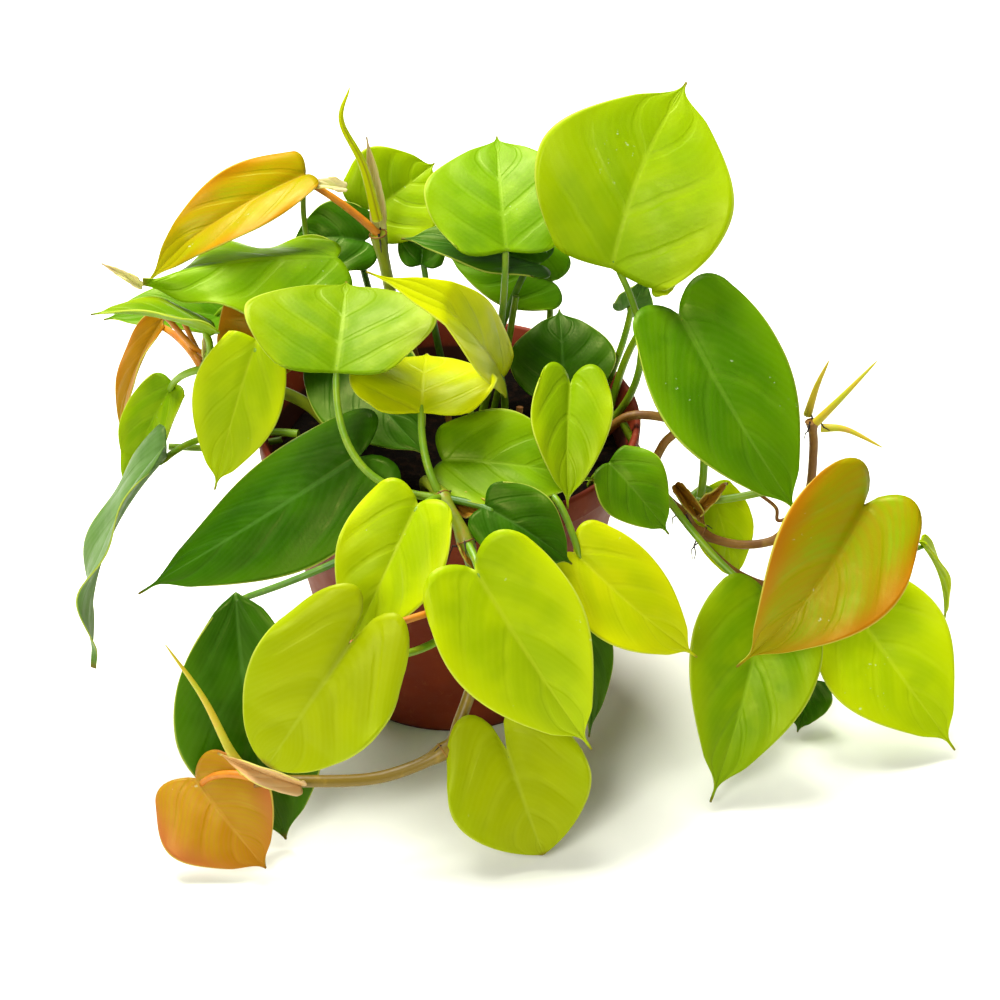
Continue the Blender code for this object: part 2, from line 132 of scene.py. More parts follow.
LEAVES = [
    # Crown
    Leaf("leaf_crown_right", "crown_lime", (50, 10, 143), (73, 42, 190), (-0.1, -0.9, 0.5), 63,
         (44, 6, ROOT), (72, 4, 108), 6, 4, lobe=0.02, widest=0.42),
    Leaf("leaf_crown_middle", "spring_green", (18, 18, 145), (15, 57, 164), (0, -0.5, 0.9), 48,
         (9, 14, ROOT), (18, 14, 115), 8, 3, lobe=0.05, widest=0.42),
    Leaf("leaf_crown_back_left", "crown_lime", (-24, 50, 142), (-5, 62, 152), (0, -0.9, 0.6), 34,
         (-8, 34, ROOT), (-22, 44, 112), lobe=0.15),
    Leaf("leaf_crown_back_dark", "deep_green", (28, 33, 132), (-15, 36, 139), (0, -0.2, 1), 26,
         (10, 34, ROOT), (16, 32, 112), 12),
    Leaf("leaf_crown_back_small", "deep_green", (-9, 40, 128), (-8, 52, 132), (0, -0.6, 0.8), 16,
         (0, 30, ROOT), (-6, 34, 110)),
    Leaf("leaf_back_left_dark", "deep_green", (-27, 42, 135), (-51, 42, 134), (-0.2, -0.7, 0.7), 24,
         (-16, 36, ROOT), (-26, 42, 112)),
    Leaf("leaf_back_middle", "mid_green", (33, 46, 118), (-3, 48, 128), (0, -0.7, 0.7), 26,
         (24, 40, ROOT), (36, 46, 100)),
    Leaf("leaf_back_right_dark", "deep_green", (36, 12, 98), (35, 38, 112), (0, -0.9, 0.5), 34,
         (32, 6, ROOT), (36, 8, 90), 4, 2, lobe=0.08),
    Leaf("leaf_crown_small_right", "grey_green", (56, 24, 121), (61, 24, 132), (0.2, -0.9, 0.4), 12,
         (46, 22, ROOT), (56, 24, 106)),
    # Upper left
    Leaf("leaf_young_top_left", "bronze", (-44, 32, 164), (-94, 12, 138), (-0.3, -0.7, 0.8), 24,
         ("vine_back", 2), (-34, 32, 156), 18, 7, 0, 4, lobe=0.08),
    Leaf("leaf_wavy_left", "spring_green", (-34, 16, 144), (-92, 0, 143), (0, -0.2, 1), 42,
         (-30, 16, ROOT), (-32, 16, 120), -26, 3, 3, lobe=0.06),
    Leaf("leaf_left_edge_on", "fresh_green", (-71, -10, 132), (-106, -16, 142), (0, 0.35, 1), 26,
         ("vine_left", 3), (-70, -8, 126), 14, lobe=0.05),
    Leaf("leaf_left_dark", "mid_green", (-74, 44, 106), (-111, 35, 110), (0, -0.2, 1), 24,
         (-36, 24, ROOT), (-54, 40, 130), lobe=0.1),
    Leaf("leaf_young_hanging", "rust", (-90, 20, 119), (-106, 17, 75), (-0.9, -0.4, 0), 15,
         ("vine_left", 3), (-81, 5, 121), 20, lobe=0.04),
    Leaf("leaf_young_behind", "rust", (-48, 12, 127), (-73, 8, 110), (-0.2, -0.8, 0.6), 32,
         ("vine_left", 2), (-46, 8, 116)),
    Leaf("leaf_hanging_left", "lime", (-57, -16, 133), (-72, -22, 83), (-0.2, -1, 0.1), 28,
         ("vine_left", 2), (-54, -17, 126), 8, lobe=0.04, point=1.2),
    Leaf("leaf_narrow_left", "fresh_green", (-86, 4, 105), (-101, -2, 68), (-0.6, -0.8, 0.2), 20,
         ("vine_left", 3), (-84, -6, 115), 18, 2, 0, -5, lobe=0.08),
    Leaf("leaf_strap_far_left", "grey_green", (-86, -28, 99), (-112, -36, 24), (-0.9, -0.05, 0.3), 30,
         (-46, -15, 99), (-78, -4, 96), 14, 9, 2, lobe=0.2),
    # Upper centre
    Leaf("leaf_cup_left", "fresh_green", (-32, -40, 137), (-30, -7, 148), (0, -0.4, 0.9), 58,
         ("vine_front", 2), (-34, -58, 106), 13, 2, lobe=0.04, widest=0.45),
    Leaf("leaf_arched", "yellow_lime", (17, -13, 118), (-14, -34, 169), (0.7, -0.4, 0.6), 25,
         (14, -6, ROOT), (20, -8, 100), 12, 6, 0, 10, lobe=0.04),
    Leaf("leaf_flat_yellow", "yellow_lime", (-7, -41, 124), (-6, -14, 127), (0, -0.2, 1), 44,
         ("vine_front", 2), (-8, -54, 116), 4, 2, lobe=0.05, widest=0.4),
    Leaf("leaf_under_cup", "deep_green", (-32, 5, 114), (-6, -28, 99), (-0.3, -0.4, 0.9), 36,
         (-38, 8, ROOT), (-36, 12, 100)),
    # Front
    Leaf("leaf_big_dark_left", "deep_green", (-26, -44, 110), (-94, -49, 63), (-0.5, -0.6, 0.8), 43,
         (-13, -36, ROOT), (-18, -36, 103), -15, 4, lobe=0.2, point=1.3, widest=0.22),
    Leaf("leaf_centre", "spring_green", (-1, -43, 108), (44, -45, 102), (0, -0.45, 0.9), 34,
         (12, -30, ROOT), (6, -34, 98), 10, lobe=0.08),
    Leaf("leaf_folded_lime", "crown_lime", (37, -29, 126), (36, -54, 98), (0.2, -0.9, 0.5), 26,
         (28, -12, ROOT), (34, -16, 108), 20, lobe=0.2, point=1.0, widest=0.26),
    Leaf("leaf_front_yellow", "lime", (-8, -66, 108), (-28, -85, 70), (-0.2, -0.8, 0.6), 33,
         ("vine_front", 2), (-4, -63, 108), 12, 4, lobe=0.12),
    Leaf("leaf_front_big", "lime", (9, -81, 95), (43, -95, 40), (0, -0.8, 0.6), 44,
         ("vine_front", 3), (9, -76, 97), 14, 5, lobe=0.16, point=1.0, widest=0.26),
    Leaf("leaf_front_right", "yellow_lime", (38, -62, 88), (75, -70, 55), (0.2, -0.7, 0.7), 30,
         (26, -40, ROOT), (30, -56, 120), 10, 4, lobe=0.12, point=1.0),
    Leaf("leaf_front_dark", "deep_green", (12, -62, 104), (37, -68, 88), (0, -0.7, 0.7), 24,
         ("vine_front", 2), (10, -60, 104), lobe=0.1),
    Leaf("leaf_olive_right", "mid_green", (49, -34, 101), (67, -43, 81), (0.3, -0.7, 0.6), 24,
         (44, -20, ROOT), (48, -26, 97), lobe=0.05, point=1.0, widest=0.28),
    Leaf("leaf_behind_front", "deep_green", (36, -60, 76), (43, -76, 29), (0.5, -0.8, 0.2), 18,
         ("vine_front", 4), (24, -66, 80), lobe=0.05),
    Leaf("leaf_round_lower_left", "olive", (-27, -103, 85), (-50, -112, 50), (-0.1, -0.9, 0.4), 43,
         ("vine_front", 4), (-8, -94, 68), 8, 5, 0, -4, lobe=0.35, point=-0.8, widest=0.25),
    Leaf("leaf_dark_lower_left", "deep_green", (-62, -70, 79), (-49, -93, 3), (-0.1, -0.9, 0.3), 46,
         ("vine_front", 2), (-24, -72, 92), 12, lobe=-0.12, point=0.4, widest=0.5),
    Leaf("leaf_small_orange", "amber", (-75, -93, 27), (-54, -107, 4), (-0.3, -0.8, 0.5), 40,
         ("vine_front", 10), (-68, -96, 34), 10, 3, lobe=0.1, point=0.5),
    Leaf("leaf_olive_bottom", "olive", (18, -88, 34), (29, -101, 4), (0.1, -0.9, 0.4), 44,
         ("vine_front", 7), (12, -88, 30), 8, 3, lobe=0.3, point=-0.2),
    # Right
    Leaf("leaf_big_right", "mid_green", (71, 5, 130), (108, -30, 78), (0.2, -0.6, 0.8), 47,
         (50, 14, ROOT), (58, 16, 132), 10, 4, lobe=0.14, point=1.1, widest=0.35),
    Leaf("leaf_green_lower_right", "fresh_green", (98, -40, 57), (81, -76, 3), (0, -0.9, 0.4), 42,
         (54, -5, 97), (73, -22, 64), 12, 4, lobe=0.08, point=1.1, widest=0.26),
    Leaf("leaf_lime_lower_right", "lime", (126, -26, 43), (160, -51, 3), (0.1, -0.8, 0.6), 44,
         ("vine_right", 6), (114, -28, 50), 10, 4, lobe=0.1, point=1.3, widest=0.3),
    Leaf("leaf_red_orange", "golden", (126, -39, 89), (88, -62, 45), (0.2, -0.8, 0.6), 46,
         ("vine_right", 6), (124, -34, 70), 20, 6, lobe=0.2, point=1.6, widest=0.24),
    Leaf("leaf_behind_right_stems", "lime", (83, 2, 68), (92, -5, 35), (0.2, -0.9, 0.2), 20,
         ("vine_right", 4), (81, 1, 71), lobe=0.05),
    Leaf("leaf_dark_far_right", "deep_green", (116, -30, 14), (111, -42, 3), (0, -0.8, 0.6), 16,
         ("vine_right", 6), (112, -20, 34), lobe=0.05),
    Leaf("leaf_pale_narrow_right", "lime", (150, -10, 55), (160, -12, 24), (0.9, 0.1, 0.3), 10,
         ("vine_right", 6), (134, -14, 52), 24, lobe=0.05),
]

# Vines: points of the running stem, with the joints where leaves grow marked by True.
Vine = namedtuple("Vine", "name finish points")

VINES = [
    Vine("vine_front", "stem_green", [
        ((-6, -28, STEM_ROOT), False), ((-6, -44, 101), False), ((-1, -57, 104), True), ((6, -68, 96), True),
        ((10, -76, 78), False), ((9, -76, 56), False), ((4, -84, 42), False), ((-1, -90, 35), True),
        ((-20, -96, 30), False), ((-44, -100, 32), False), ((-56, -101, 34), True)]),
    Vine("vine_right", "stem_brown", [
        ((42, -4, STEM_ROOT), False), ((52, -5, 101), False), ((62, -6, 103), False), ((70, -6, 86), False),
        ((76, -6, 68), True), ((90, -8, 57), False), ((106, -10, 57), True), ((114, -8, 72), False),
        ((112, -5, 94), True)]),
    Vine("vine_left", "stem_green", [
        ((-30, -6, STEM_ROOT), False), ((-42, -8, 104), False), ((-58, -10, 114), False),
        ((-75, -8, 118), True)]),
    Vine("vine_back", "stem_green", [
        ((-14, 22, STEM_ROOT), False), ((-18, 30, 118), False), ((-22, 30, 144), True)]),
]

# The right-hand stem loops back over the rim before it trails, which its plain solid leaves out.
# The looping stem is thinner than the others.
FINE_ROUTE_SHARE = 0.75
FINE_ROUTES = {
    "vine_right": [
        ((44, -4, 86), False), ((56, -5, 99), False), ((72, -6, 97), False), ((67, -7, 90), False),
        ((64, -8, 81), False), ((67, -9, 73), False), ((74, -9, 65), True), ((80, -10, 58), True),
        ((93, -12, 55), False), ((106, -11, 58), True), ((113, -8, 70), False), ((114, -6, 87), False),
        ((113, -5, 97), True)],
}

# New leaves still rolled, each a pointed spike: name, finish, radius at the base, points
Spike = namedtuple("Spike", "name finish radius points")

SPIKES = [
    Spike("spike_back", "yellow_lime", 1.6, [(-22, 30, 149), (-26, 30, 168), (-32, 28, 184), (-29, 26, 196)]),
    Spike("spike_right_long", "sheath", 1.3, [(114, -7, 98), (122, -8, 109), (131, -8, 121)]),
    Spike("spike_right_upright", "sheath", 1.3, [(112, -1, 97), (114, -2, 108), (117, -3, 118)]),
    Spike("spike_right_low", "sheath", 1.3, [(116, -4, 94), (124, -5, 94), (135, -9, 90)]),
    Spike("spike_front", "sheath", 1.6, [(-59, -102, 37.5), (-63, -102, 46), (-70, -98, 62), (-80, -95, 79)]),
]

# Papery sheaths, buds and dry scraps: blades with no stalk of their own
SCRAPS = [
    Leaf("sheath_back", "papery", (-22, 36, 142), (-25, 37, 174),
         (0.2, -0.9, 0.2), 6.5, None, None, 40, 1),
    Leaf("stipule_back", "papery", (-32, 30, 160), (-45, 28, 162),
         (0, -0.5, 0.9), 5.0, None, None, 30, 1),
    Leaf("sheath_front", "tan_papery", (-43, -104, 34), (-66, -105, 47),
         (-0.2, -0.9, 0.5), 9.0, None, None, 50, 2, 0.8),
    Leaf("sheath_left", "papery", (-73, -5, 119), (-74, -5, 131), (0.2, -0.9, 0), 6.0, None, None, 50, 1),
    Leaf("bud_left", "lime", (-75, 0, 88), (-79, 0, 97), (0.2, -0.9, 0.3), 5.5, None, None, 40, 1),
    Leaf("young_tip_left", "papery", (-94, 8, 138), (-105, 6, 147),
         (0, -0.7, 0.7), 3.5, None, None, 40, 1),
    Leaf("pale_tip_right", "lime", (63, 10, 136), (71, 14, 138), (0, -0.9, 0.4), 7.0, None, None, 20, 1),
    Leaf("dry_scrap_in_pot", "dry_brown", (3, -56, 101), (15, -60, 98),
         (0.1, -0.6, 0.8), 8.0, None, None, 25, 2, 2.5),
    Leaf("dry_wrap_right", "dry_brown", (71, -11, 77), (81, -13, 63),
         (0.3, -0.9, 0.2), 7.0, None, None, 50, 2, 1.5),
    Leaf("dry_wrap_right_2", "dry_brown", (78, -13, 69), (87, -14, 80),
         (-0.2, -0.9, 0.2), 6.0, None, None, 50, -2, 1.5),
    Leaf("dry_wrap_front", "dry_brown", (5, -68, 96), (10, -74, 88),
         (0.1, -0.9, 0.4), 5.0, None, None, 45, 1, 0.5),
]

# Thin side stems and twigs: name, skin, radius and the points they run through
Twig = namedtuple("Twig", "name skin radius points")

TWIGS = [
    Twig("twig_green_right", "green", 1.3, [(78, -9, 70), (85, -10, 71), (91, -10, 72), (99, -10, 74)]),
    Twig("twig_brown_right", "brown", 1.2, [(79, -10, 56), (89, -13, 47), (97, -15, 43), (104, -17, 42)]),
    Twig("twig_upright_right", "green", 1.3, [(80, -3, 88), (80, -6, 78), (79, -9, 69)]),
    Twig("twig_dry_right", "brown", 0.6, [(97, -9, 73), (103, -10, 68), (104, -10, 63), (109, -10, 65)]),
    Twig("twig_far_left", "red", 0.9, [(-86, 0, 132), (-76, 0, 119), (-64, 2, 112)]),
    Twig("twig_left", "red", 0.9, [(-82, 4, 130), (-77, 2, 118), (-73, -2, 113)]),
    Twig("twig_low_left", "green", 1.1, [(-87, -10, 91), (-68, -8, 89), (-52, -6, 91)]),
    Twig("twig_back_left", "green", 0.9, [(-45, 33, 158), (-45, 33, 146), (-42, 32, 120)]),
    Twig("twig_pot_1", "brown", 1.1, [(17, -22, 84), (21, -20, 96), (22, -17, 110)]),
    Twig("twig_pot_2", "brown", 0.9, [(18, -23, 84), (30, -20, 93), (38, -16, 99)]),
    Twig("twig_pot_3", "green", 1.0, [(15, -24, 84), (10, -20, 96), (7, -16, 108)]),
    Twig("twig_pot_4", "brown", 1.0, [(2, -20, 84), (2, -22, 98), (0, -22, 112)]),
    Twig("twig_pot_5", "green", 1.1, [(14, 22, 84), (18, 24, 104), (21, 26, 124)]),
    Twig("twig_pot_6", "brown", 1.0, [(-8, 24, 84), (-12, 28, 106), (-20, 32, 128)]),
    Twig("twig_orange_pot", "red", 1.1, [(-27, -102, 84), (-14, -96, 87), (0, -86, 85), (8, -78, 80)]),
]


# Small tools

def choose(item):
    """Only this object is selected and active."""
    bpy.ops.object.select_all(action="DESELECT")
    item.select_set(True)
    bpy.context.view_layer.objects.active = item
    return item


def named(item, name):
    item.name = name
    item.data.name = name
    return item


def apply_modifier(item, kind, **settings):
    choose(item)
    modifier = item.modifiers.new(kind.lower(), kind)
    for key, value in settings.items():
        setattr(modifier, key, value)
    bpy.ops.object.modifier_apply(modifier=modifier.name)


def join(pieces, name):
    choose(pieces[0])
    for piece in pieces:
        piece.select_set(True)
    bpy.ops.object.join()
    return named(bpy.context.object, name)


def finished(item, slot_name, *nodes):
    """The piece rides on the plant's one body and stands for its CAD nodes, which are hidden. The slot name
    is not used.
    """
    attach(item, BODY)
    if nodes:
        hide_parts(*nodes)
    return item


def smooth_path(places, steps):
    """A path through every place, rounded between them."""
    known = [Vector(place) for place in places]
    ends = [known[0] * 2 - known[1]] + known + [known[-1] * 2 - known[-2]]
    path = []
    for k in range(1, len(ends) - 2):
        a, b, c, d = ends[k - 1:k + 3]
        for step in range(steps):
            t = step / steps
            path.append(0.5 * (
                b * 2 + (c - a) * t + (a * 2 - b * 5 + c * 4 - d) * t * t
                + (b * 3 - a - c * 3 + d) * t ** 3))
    return path + [known[-1]]


def bezier(a, b, c, steps):
    """A single bend from a to c, pulled toward b."""
    return [a * (1 - t) ** 2 + b * 2 * t * (1 - t) + c * t * t
            for t in (k / steps for k in range(steps + 1))]


def tube(name, points, radii, material, resolution=3):
    """A closed tube through the points, with its radius at each."""
    data = bpy.data.curves.new(name, "CURVE")
    data.dimensions = "3D"
    data.bevel_depth = METRE
    data.bevel_resolution = resolution
    data.use_fill_caps = True
    spline = data.splines.new("POLY")
    spline.points.add(len(points) - 1)
    for point, place, radius in zip(spline.points, points, radii):
        point.co = (*(place * METRE), 1.0)
        point.radius = radius
    item = bpy.data.objects.new(name, data)
    bpy.context.scene.collection.objects.link(item)
    data.materials.append(material)
    choose(item)
    bpy.ops.object.convert(target="MESH")
    item = bpy.context.object
    bpy.ops.object.shade_smooth()
    return named(item, name)


# Materials

def linear(code):
    """An sRGB hex colour as linear red, green, blue and alpha."""
    parts = [int(code[k:k + 2], 16) / 255 for k in (1, 3, 5)]
    return (*(p / 12.92 if p <= 0.04045 else ((p + 0.055) / 1.055) ** 2.4 for p in parts), 1.0)


def add(tree, kind, inputs=None, **settings):
    """A node with its settings, and its inputs set or linked."""
    made = tree.nodes.new(kind)
    for key, value in settings.items():
        setattr(made, key, value)
    for key, value in (inputs or {}).items():
        if isinstance(value, bpy.types.NodeSocket):
            tree.links.new(value, made.inputs[key])
        else:
            made.inputs[key].default_value = value
    return made


def new_material(name):
    material = bpy.data.materials.new(name)
    material.use_nodes = True
    tree = material.node_tree
    tree.nodes.clear()
    return material, tree


def math_node(tree, operation, a, b=0.0, c=0.0):
    return add(tree, "ShaderNodeMath", {0: a, 1: b, 2: c}, operation=operation).outputs[0]


def ramp(tree, value, low, high, start=0.0, end=1.0):
    """The value's smooth rise from low to high."""
    return add(tree, "ShaderNodeMapRange", {
        "Value": value, "From Min": low, "From Max": high, "To Min": start, "To Max": end,
    }, interpolation_type="SMOOTHSTEP").outputs["Result"]


def blend_colours(tree, share, first, second):
    return add(tree, "ShaderNodeMix", {0: share, 6: first, 7: second}, data_type="RGBA").outputs[2]


def mottle(tree, size_mm, detail=3.0):
    """Soft cloudy variation with features of a size in mm."""
    place = add(tree, "ShaderNodeTexCoord").outputs["Object"]
    return add(tree, "ShaderNodeTexNoise", {
        "Vector": place, "Scale": 1.0 / (size_mm * METRE), "Detail": detail}).outputs["Fac"]


def leaf_veins(tree):
    """How far across and along the blade a point lies, how strong a vein is there, the fine streaks, and the
    bands of painted shade beside the veins.
    """
    uv = add(tree, "ShaderNodeUVMap", uv_map="UVMap").outputs["UV"]
    split = add(tree, "ShaderNodeSeparateXYZ", {"Vector": uv})
    across = math_node(tree, "ABSOLUTE", math_node(tree, "MULTIPLY_ADD", split.outputs[0], 2.0, -1.0))
    rest = math_node(tree, "POWER", math_node(tree, "SUBTRACT", 1.0, split.outputs[1]), ROW_CROWDING)
    along = math_node(tree, "SUBTRACT", 1.0, rest)
    lean = math_node(tree, "MULTIPLY", math_node(tree, "POWER", across, VEIN_BEND), -VEIN_LEAN)
    phase = math_node(tree, "MULTIPLY", math_node(tree, "ADD", along, lean), VEIN_PAIRS * math.tau)
    wobble = math_node(tree, "MULTIPLY_ADD", mottle(tree, 16.0), 1.6, -0.8)
    phase = math_node(tree, "ADD", phase, wobble)
    side = ramp(tree, math_node(tree, "COSINE", phase), 0.7, 1.0)
    side = math_node(tree, "MULTIPLY", side, ramp(tree, across, 0.5, 0.95, 1.0, 0.0))
    streaks = math_node(tree, "COSINE", math_node(tree, "MULTIPLY", phase, 6.0))
    midrib = ramp(tree, across, 0.01, 0.05, 1.0, 0.0)
    # Painted shade: a band beside each vein, fading toward the margin, standing in for the shading of the
    # hollows between the veins
    painted_vein_shade = ramp(tree, math_node(tree, "SINE", phase), -0.4, 1.0)
    painted_vein_shade = math_node(tree, "MULTIPLY", painted_vein_shade, ramp(tree, across, 0.3, 0.9, 1.0, 0.0))
    return across, along, midrib, side, streaks, painted_vein_shade


PALE_MARGIN = "#D6DE5A"
DRY_TIP = "#7A5A20"
WATER_MARK = "#E2ECC4"


def leaf_skin(name, body, patch, edge, vein, glow, tip=None, streak=0.06, rough=0.37,
              patch_mm=15.0, vein_share=0.3):
    """Waxy leaf skin: satin, thin enough for light to come through, with painted shade in a greener tone in
    bands beside its sunken veins.
    """
    material, tree = new_material(name)
    across, along, midrib, side, streaks, painted_vein_shade = leaf_veins(tree)

    # Broad patches, a paler rim, painted shade in bands between the veins where the hollows would lie in
    # shade, and the tip's own colour
    clouds = ramp(tree, mottle(tree, patch_mm), 0.36, 0.64)
    colour = blend_colours(tree, clouds, linear(body), linear(patch))
    colour = blend_colours(tree, ramp(tree, across, 0.45, 1.0), colour, linear(edge))
    colour = blend_colours(tree, math_node(tree, "MULTIPLY", painted_vein_shade, 0.7), colour, linear(patch))
    colour = blend_colours(tree, ramp(tree, along, 0.45, 0.95, 0.0, 0.8), colour, linear(tip or body))

    # Fine streaks along the veins, the veins themselves, and the midrib
    fine = math_node(tree, "MULTIPLY", ramp(tree, streaks, -0.6, 1.0), streak)
    colour = blend_colours(tree, fine, colour, linear(vein if streak < 0.1 else edge))
    colour = blend_colours(tree, math_node(tree, "MULTIPLY", side, vein_share * 0.22), colour, linear(vein))
    colour = blend_colours(tree, math_node(tree, "MULTIPLY", midrib, vein_share), colour, linear(vein))

    # A thin pale margin, a dry tip, and scattered chalky marks left by water
    margin = ramp(tree, across, 0.965, 0.995, 0.0, 0.6)
    colour = blend_colours(tree, margin, colour, linear(PALE_MARGIN))
    dry = ramp(tree, along, 0.955, 1.0, 0.0, 0.75)
    colour = blend_colours(tree, dry, colour, linear(DRY_TIP))
    chalk = math_node(tree, "MULTIPLY", ramp(tree, mottle(tree, 1.8), 0.66, 0.74),
                      ramp(tree, mottle(tree, 21.0), 0.62, 0.68))
    colour = blend_colours(tree, math_node(tree, "MULTIPLY", chalk, 0.55), colour, linear(WATER_MARK))

    # Sunken veins and a faint grain in the waxy shine, with light coming through from behind
    sunk = math_node(tree, "MULTIPLY", math_node(tree, "MAXIMUM", midrib, side), -0.8)
    height = math_node(tree, "MULTIPLY_ADD", mottle(tree, 1.0, 2.0), 0.3, sunk)
    bump = add(tree, "ShaderNodeBump", {"Strength": 0.4, "Distance": 0.4 * METRE, "Height": height})
    gloss = ramp(tree, mottle(tree, 5.0), 0.3, 0.7, rough - 0.06, rough + 0.08)
    skin = add(tree, "ShaderNodeBsdfPrincipled", {
        "Base Color": colour, "Roughness": gloss, "IOR": 1.42, "Specular IOR Level": 0.36,
        "Specular Tint": (1.0, 1.0, 0.25, 1.0), "Normal": bump.outputs["Normal"]})
    through = add(tree, "ShaderNodeBsdfTranslucent", {
        "Color": blend_colours(tree, 0.5, colour, linear(glow)), "Normal": bump.outputs["Normal"]})
    both = add(tree, "ShaderNodeMixShader", {0: 0.38, 1: skin.outputs[0], 2: through.outputs[0]})
    add(tree, "ShaderNodeOutputMaterial", {"Surface": both.outputs[0]})
    return material


def stem_skin(name, body, patch, blush, rough=0.42, low=None):
    """Juicy stem skin: smooth with a satin shine, in bands of green and ochre, browner low down if asked."""
    material, tree = new_material(name)
    clouds = ramp(tree, mottle(tree, 9.0), 0.4, 0.65)
    colour = blend_colours(tree, clouds, linear(body), linear(patch))
    if low:
        place = add(tree, "ShaderNodeTexCoord").outputs["Object"]
        height = add(tree, "ShaderNodeSeparateXYZ", {"Vector": place}).outputs[2]
        fade = ramp(tree, height, BROWNING_LOW * METRE, BROWNING_HIGH * METRE, 1.0, 0.0)
        colour = blend_colours(tree, fade, colour, linear(low))
    spots = ramp(tree, mottle(tree, 3.5), 0.56, 0.72, 0.0, 0.6)
    colour = blend_colours(tree, spots, colour, linear(blush))
    bump = add(tree, "ShaderNodeBump", {
        "Strength": 0.3, "Distance": 0.3 * METRE, "Height": mottle(tree, 1.2)})
    skin = add(tree, "ShaderNodeBsdfPrincipled", {
        "Base Color": colour, "Roughness": rough, "IOR": 1.42, "Normal": bump.outputs["Normal"]})
    add(tree, "ShaderNodeOutputMaterial", {"Surface": skin.outputs[0]})
    return material


def moulded_pot_plastic():
    """Moulded terracotta-brown polypropylene: an even dull skin, dusty outside, and darkened inside below the
    lip with painted shade that also stands for peat stain.
    """
    material, tree = new_material("moulded_pot_plastic")
    clouds = ramp(tree, mottle(tree, 22.0), 0.35, 0.7)
    colour = blend_colours(tree, clouds, linear("#661E02"), linear("#762804"))
    dust = ramp(tree, mottle(tree, 2.2, 6.0), 0.58, 0.75, 0.0, 0.25)
    colour = blend_colours(tree, dust, colour, linear("#8E5A34"))
    # The inner wall below the lip is darkened, fading toward the lip: painted shade that also stands for peat
    # stain
    place = add(tree, "ShaderNodeTexCoord").outputs["Object"]
    height = add(tree, "ShaderNodeSeparateXYZ", {"Vector": place}).outputs[2]
    flat = add(tree, "ShaderNodeVectorMath", {0: place, 1: (1.0, 1.0, 0.0)}, operation="MULTIPLY").outputs[0]
    radius = add(tree, "ShaderNodeVectorMath", {0: flat}, operation="LENGTH").outputs["Value"]
    slope = (wall_radius(POT_HEIGHT) - BASE_RADIUS) / POT_HEIGHT
    outside = math_node(tree, "MULTIPLY_ADD", height, slope, BASE_RADIUS * METRE)
    inward = math_node(tree, "SUBTRACT", outside, radius)
    inside = ramp(tree, inward, 0.5 * WALL * METRE, 0.9 * WALL * METRE, 0.0, 0.85)
    below_lip = ramp(tree, height, (POT_HEIGHT - 7.0) * METRE, (POT_HEIGHT - 1.5) * METRE, 1.0, 0.3)
    shade_and_peat_stain = math_node(tree, "MULTIPLY", inside, below_lip)
    colour = blend_colours(tree, shade_and_peat_stain, colour, linear("#1C0A02"))
    bump = add(tree, "ShaderNodeBump", {
        "Strength": 0.15, "Distance": 0.2 * METRE, "Height": mottle(tree, 0.8)})
    rough = ramp(tree, mottle(tree, 7.0), 0.3, 0.7, 0.6, 0.72)
    skin = add(tree, "ShaderNodeBsdfPrincipled", {
        "Base Color": colour, "Roughness": rough, "IOR": 1.49, "Specular IOR Level": 0.2,
        "Normal": bump.outputs["Normal"]})
    add(tree, "ShaderNodeOutputMaterial", {"Surface": skin.outputs[0]})
    return material


def damp_peat():
    """Damp peat: almost black, crumbly, with brown fibres."""
    material, tree = new_material("damp_peat")
    colour = blend_colours(tree, ramp(tree, mottle(tree, 2.5, 5.0), 0.45, 0.72),
                           linear("#070401"), linear("#1A0E05"))
    bump = add(tree, "ShaderNodeBump", {
        "Strength": 0.8, "Distance": 0.8 * METRE, "Height": mottle(tree, 1.3, 6.0)})
    skin = add(tree, "ShaderNodeBsdfPrincipled", {
        "Base Color": colour, "Roughness": 0.95, "Specular IOR Level": 0.05,
        "Normal": bump.outputs["Normal"]})
    add(tree, "ShaderNodeOutputMaterial", {"Surface": skin.outputs[0]})
    return material


# Each skin: body, patches (also the colour of the painted shade between the veins), edge, veins, the colour
# of light that has come through, and on young leaves the colour of the tip and the strength of the streaks
SKINS = {
    "lime": ("#B0C400", "#98B000", "#BECC00", "#C6D230", "#CCE000"),
    "crown_lime": ("#92AC00", "#7E9E00", "#9EB400", "#AEC428", "#B4D000"),
    "yellow_lime": ("#C2C800", "#B0BE00", "#CCD000", "#D6DC30", "#E0E400"),
    "fresh_green": ("#809E00", "#648A00", "#92A800", "#9ABA2C", "#A0C400"),
    "spring_green": ("#78A000", "#628C00", "#88AA00", "#98BC28", "#98C800"),
    "mid_green": ("#5A8800", "#467600", "#689400", "#82A634", "#80B400"),
    "deep_green": ("#346600", "#265400", "#427000", "#608E38", "#508400"),
    "olive": ("#A4B000", "#98A400", "#A0B000", "#BCC83C", "#C4D000"),
    "grey_green": ("#4A7426", "#6A9048", "#5E8438", "#A4BC80", "#70A830"),
    "bronze": ("#A2A400", "#AA9400", "#BC8008", "#C8A020", "#D8B000", "#9CA800", 0.2),
    "golden": ("#88A000", "#9E9200", "#B47008", "#B8A41C", "#CCB000", "#968C00", 0.16),
    "amber": ("#A87A00", "#B08A18", "#B46A34", "#D0A448", "#E09C18", "#B07808", 0.3),
    "rust": ("#A47600", "#8C6800", "#B07008", "#B48C30", "#D09000", "#A08000", 0.2),
    "papery": ("#D4D688", "#DCD09C", "#E2CCA4", "#E8E4B0", "#ECE8A0", "#D4B080"),
    "tan_papery": ("#C8A468", "#CFAE78", "#D8B88C", "#DCC494", "#E0B878", "#C89050"),
    "dry_brown": ("#7C5008", "#946414", "#A87828", "#A88440", "#A06C10"),
}
skins = {name: leaf_skin("leaf_skin_" + name, *colours) for name, colours in SKINS.items()}
